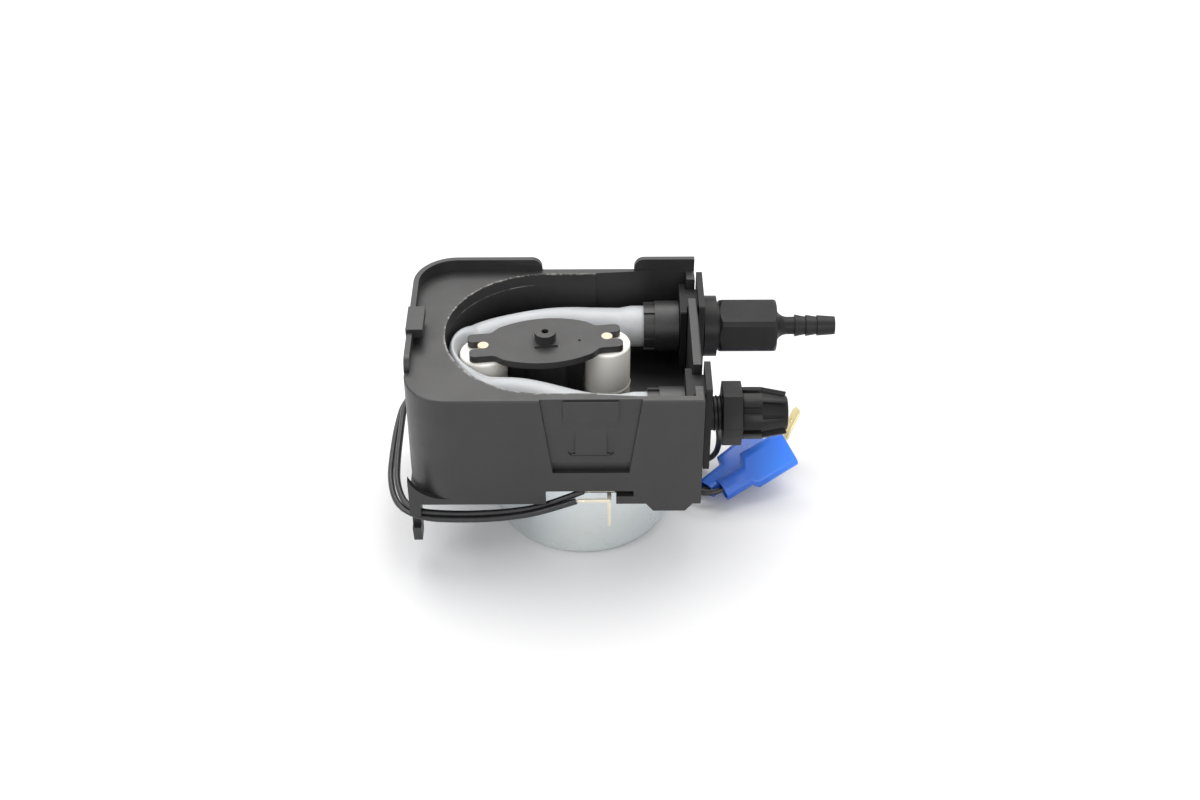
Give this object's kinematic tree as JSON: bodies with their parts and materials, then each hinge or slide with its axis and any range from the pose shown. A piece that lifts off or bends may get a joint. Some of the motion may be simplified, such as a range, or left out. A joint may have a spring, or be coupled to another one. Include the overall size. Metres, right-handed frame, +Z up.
{
  "type": "peristaltic dosing pump",
  "caption": "Roller-type peristaltic dosing pump with a round geared motor below, a two-roller rotor in an open race, side fittings and motor leads with push-on terminals.",
  "frame": {"origin": "on the rotor axis, at the underside of the motor can that the pump stands on", "axes": "+Z up along the rotor axis, +X towards the two fittings, -Y towards the suction side"},
  "size_m": [0.1292, 0.0658, 0.0652],
  "materials": {
    "body_plastic": "satin moulded plastic",
    "rotor_plastic": "satin moulded plastic",
    "fitting_plastic": "satin moulded plastic",
    "nut_plastic": "satin moulded plastic",
    "roller_plastic": "smooth warm white plastic",
    "pin_plastic": "cream plastic",
    "ring_plastic": "natural plastic",
    "tube_silicone": "translucent silicone",
    "zinc_steel": "zinc plated, bluish",
    "bright_steel": "bright drawn steel",
    "bush_bronze": "oiled bronze",
    "gear_plastic": "natural acetal",
    "magnet_ferrite": "sintered ferrite",
    "bobbin_plastic": "glass filled nylon",
    "copper_wire": "enamelled copper winding",
    "sleeve_nylon": "translucent blue nylon",
    "terminal_brass": "tinned brass",
    "lead_pvc": "soft PVC insulation"
  },
  "bodies": {
    "base": {"blade_terminal": "terminal_brass", "coil_bobbin": "bobbin_plastic", "coil_winding": "copper_wire", "compression_nut": "nut_plastic", "discharge_adapter": "fitting_plastic", "discharge_connector": "fitting_plastic", "gear_frame": "zinc_steel", "gear_posts": "bright_steel", "hose_grip_ring": "ring_plastic", "lead_front": "lead_pvc", "lead_rear": "lead_pvc", "lower_stator_plate": "zinc_steel", "magnet_axle": "bright_steel", "motor_can": "zinc_steel", "motor_lid": "zinc_steel", "motor_screws": "bright_steel", "output_bush": "bush_bronze", "pump_body": "body_plastic", "pump_tube": "tube_silicone", "receptacle_terminal": "terminal_brass", "suction_connector": "fitting_plastic", "suction_union": "fitting_plastic", "terminal_block": "bobbin_plastic", "terminal_sleeve_front": "sleeve_nylon", "terminal_sleeve_rear": "sleeve_nylon", "terminal_tab_front": "bright_steel", "terminal_tab_rear": "bright_steel", "tube_clamp_back": "rotor_plastic", "tube_clamp_front": "rotor_plastic", "upper_stator_plate": "zinc_steel"},
    "rotor": {"rotor_plate": "rotor_plastic", "roller_carrier": "rotor_plastic", "roller_pin_left": "pin_plastic", "roller_pin_right": "pin_plastic", "output_shaft": "bright_steel", "output_gear": "bush_bronze"},
    "roller_left": {"roller_left": "roller_plastic"},
    "roller_right": {"roller_right": "roller_plastic"},
    "magnet": {"magnet_ring": "magnet_ferrite", "magnet_pinion": "gear_plastic"},
    "first_gear": {"first_reduction_gear": "gear_plastic"},
    "second_gear": {"second_reduction_gear": "gear_plastic"}
  },
  "joints": [
    {"name": "rotor_spin", "type": "hinge", "parent": "base", "child": "rotor", "pos_m": [0, 0, 0.03], "axis": [0, 0, 1], "continuous": true, "deforming": ["pump_tube"]},
    {"name": "roller_left_spin", "type": "hinge", "parent": "rotor", "child": "roller_left", "pos_m": [-0.01693, -0.00201, 0.03], "axis": [0, 0, 1], "continuous": true},
    {"name": "roller_right_spin", "type": "hinge", "parent": "rotor", "child": "roller_right", "pos_m": [0.01693, 0.00201, 0.03], "axis": [0, 0, 1], "continuous": true},
    {"name": "second_gear_spin", "type": "hinge", "parent": "base", "child": "second_gear", "pos_m": [0.0075, 0.01299, 0.03], "axis": [0, 0, 1], "continuous": true},
    {"name": "first_gear_spin", "type": "hinge", "parent": "base", "child": "first_gear", "pos_m": [0.01865, 0.00856, 0.03], "axis": [0, 0, 1], "continuous": true},
    {"name": "magnet_spin", "type": "hinge", "parent": "base", "child": "magnet", "pos_m": [0.01025, 0, 0.03], "axis": [0, 0, 1], "continuous": true}
  ],
  "couplings": [
    {"joint": "roller_left_spin", "follows": "rotor_spin", "ratio": -3.65},
    {"joint": "roller_right_spin", "follows": "rotor_spin", "ratio": -3.65},
    {"joint": "second_gear_spin", "follows": "rotor_spin", "ratio": -4},
    {"joint": "first_gear_spin", "follows": "rotor_spin", "ratio": 12},
    {"joint": "magnet_spin", "follows": "rotor_spin", "ratio": -36}
  ]
}
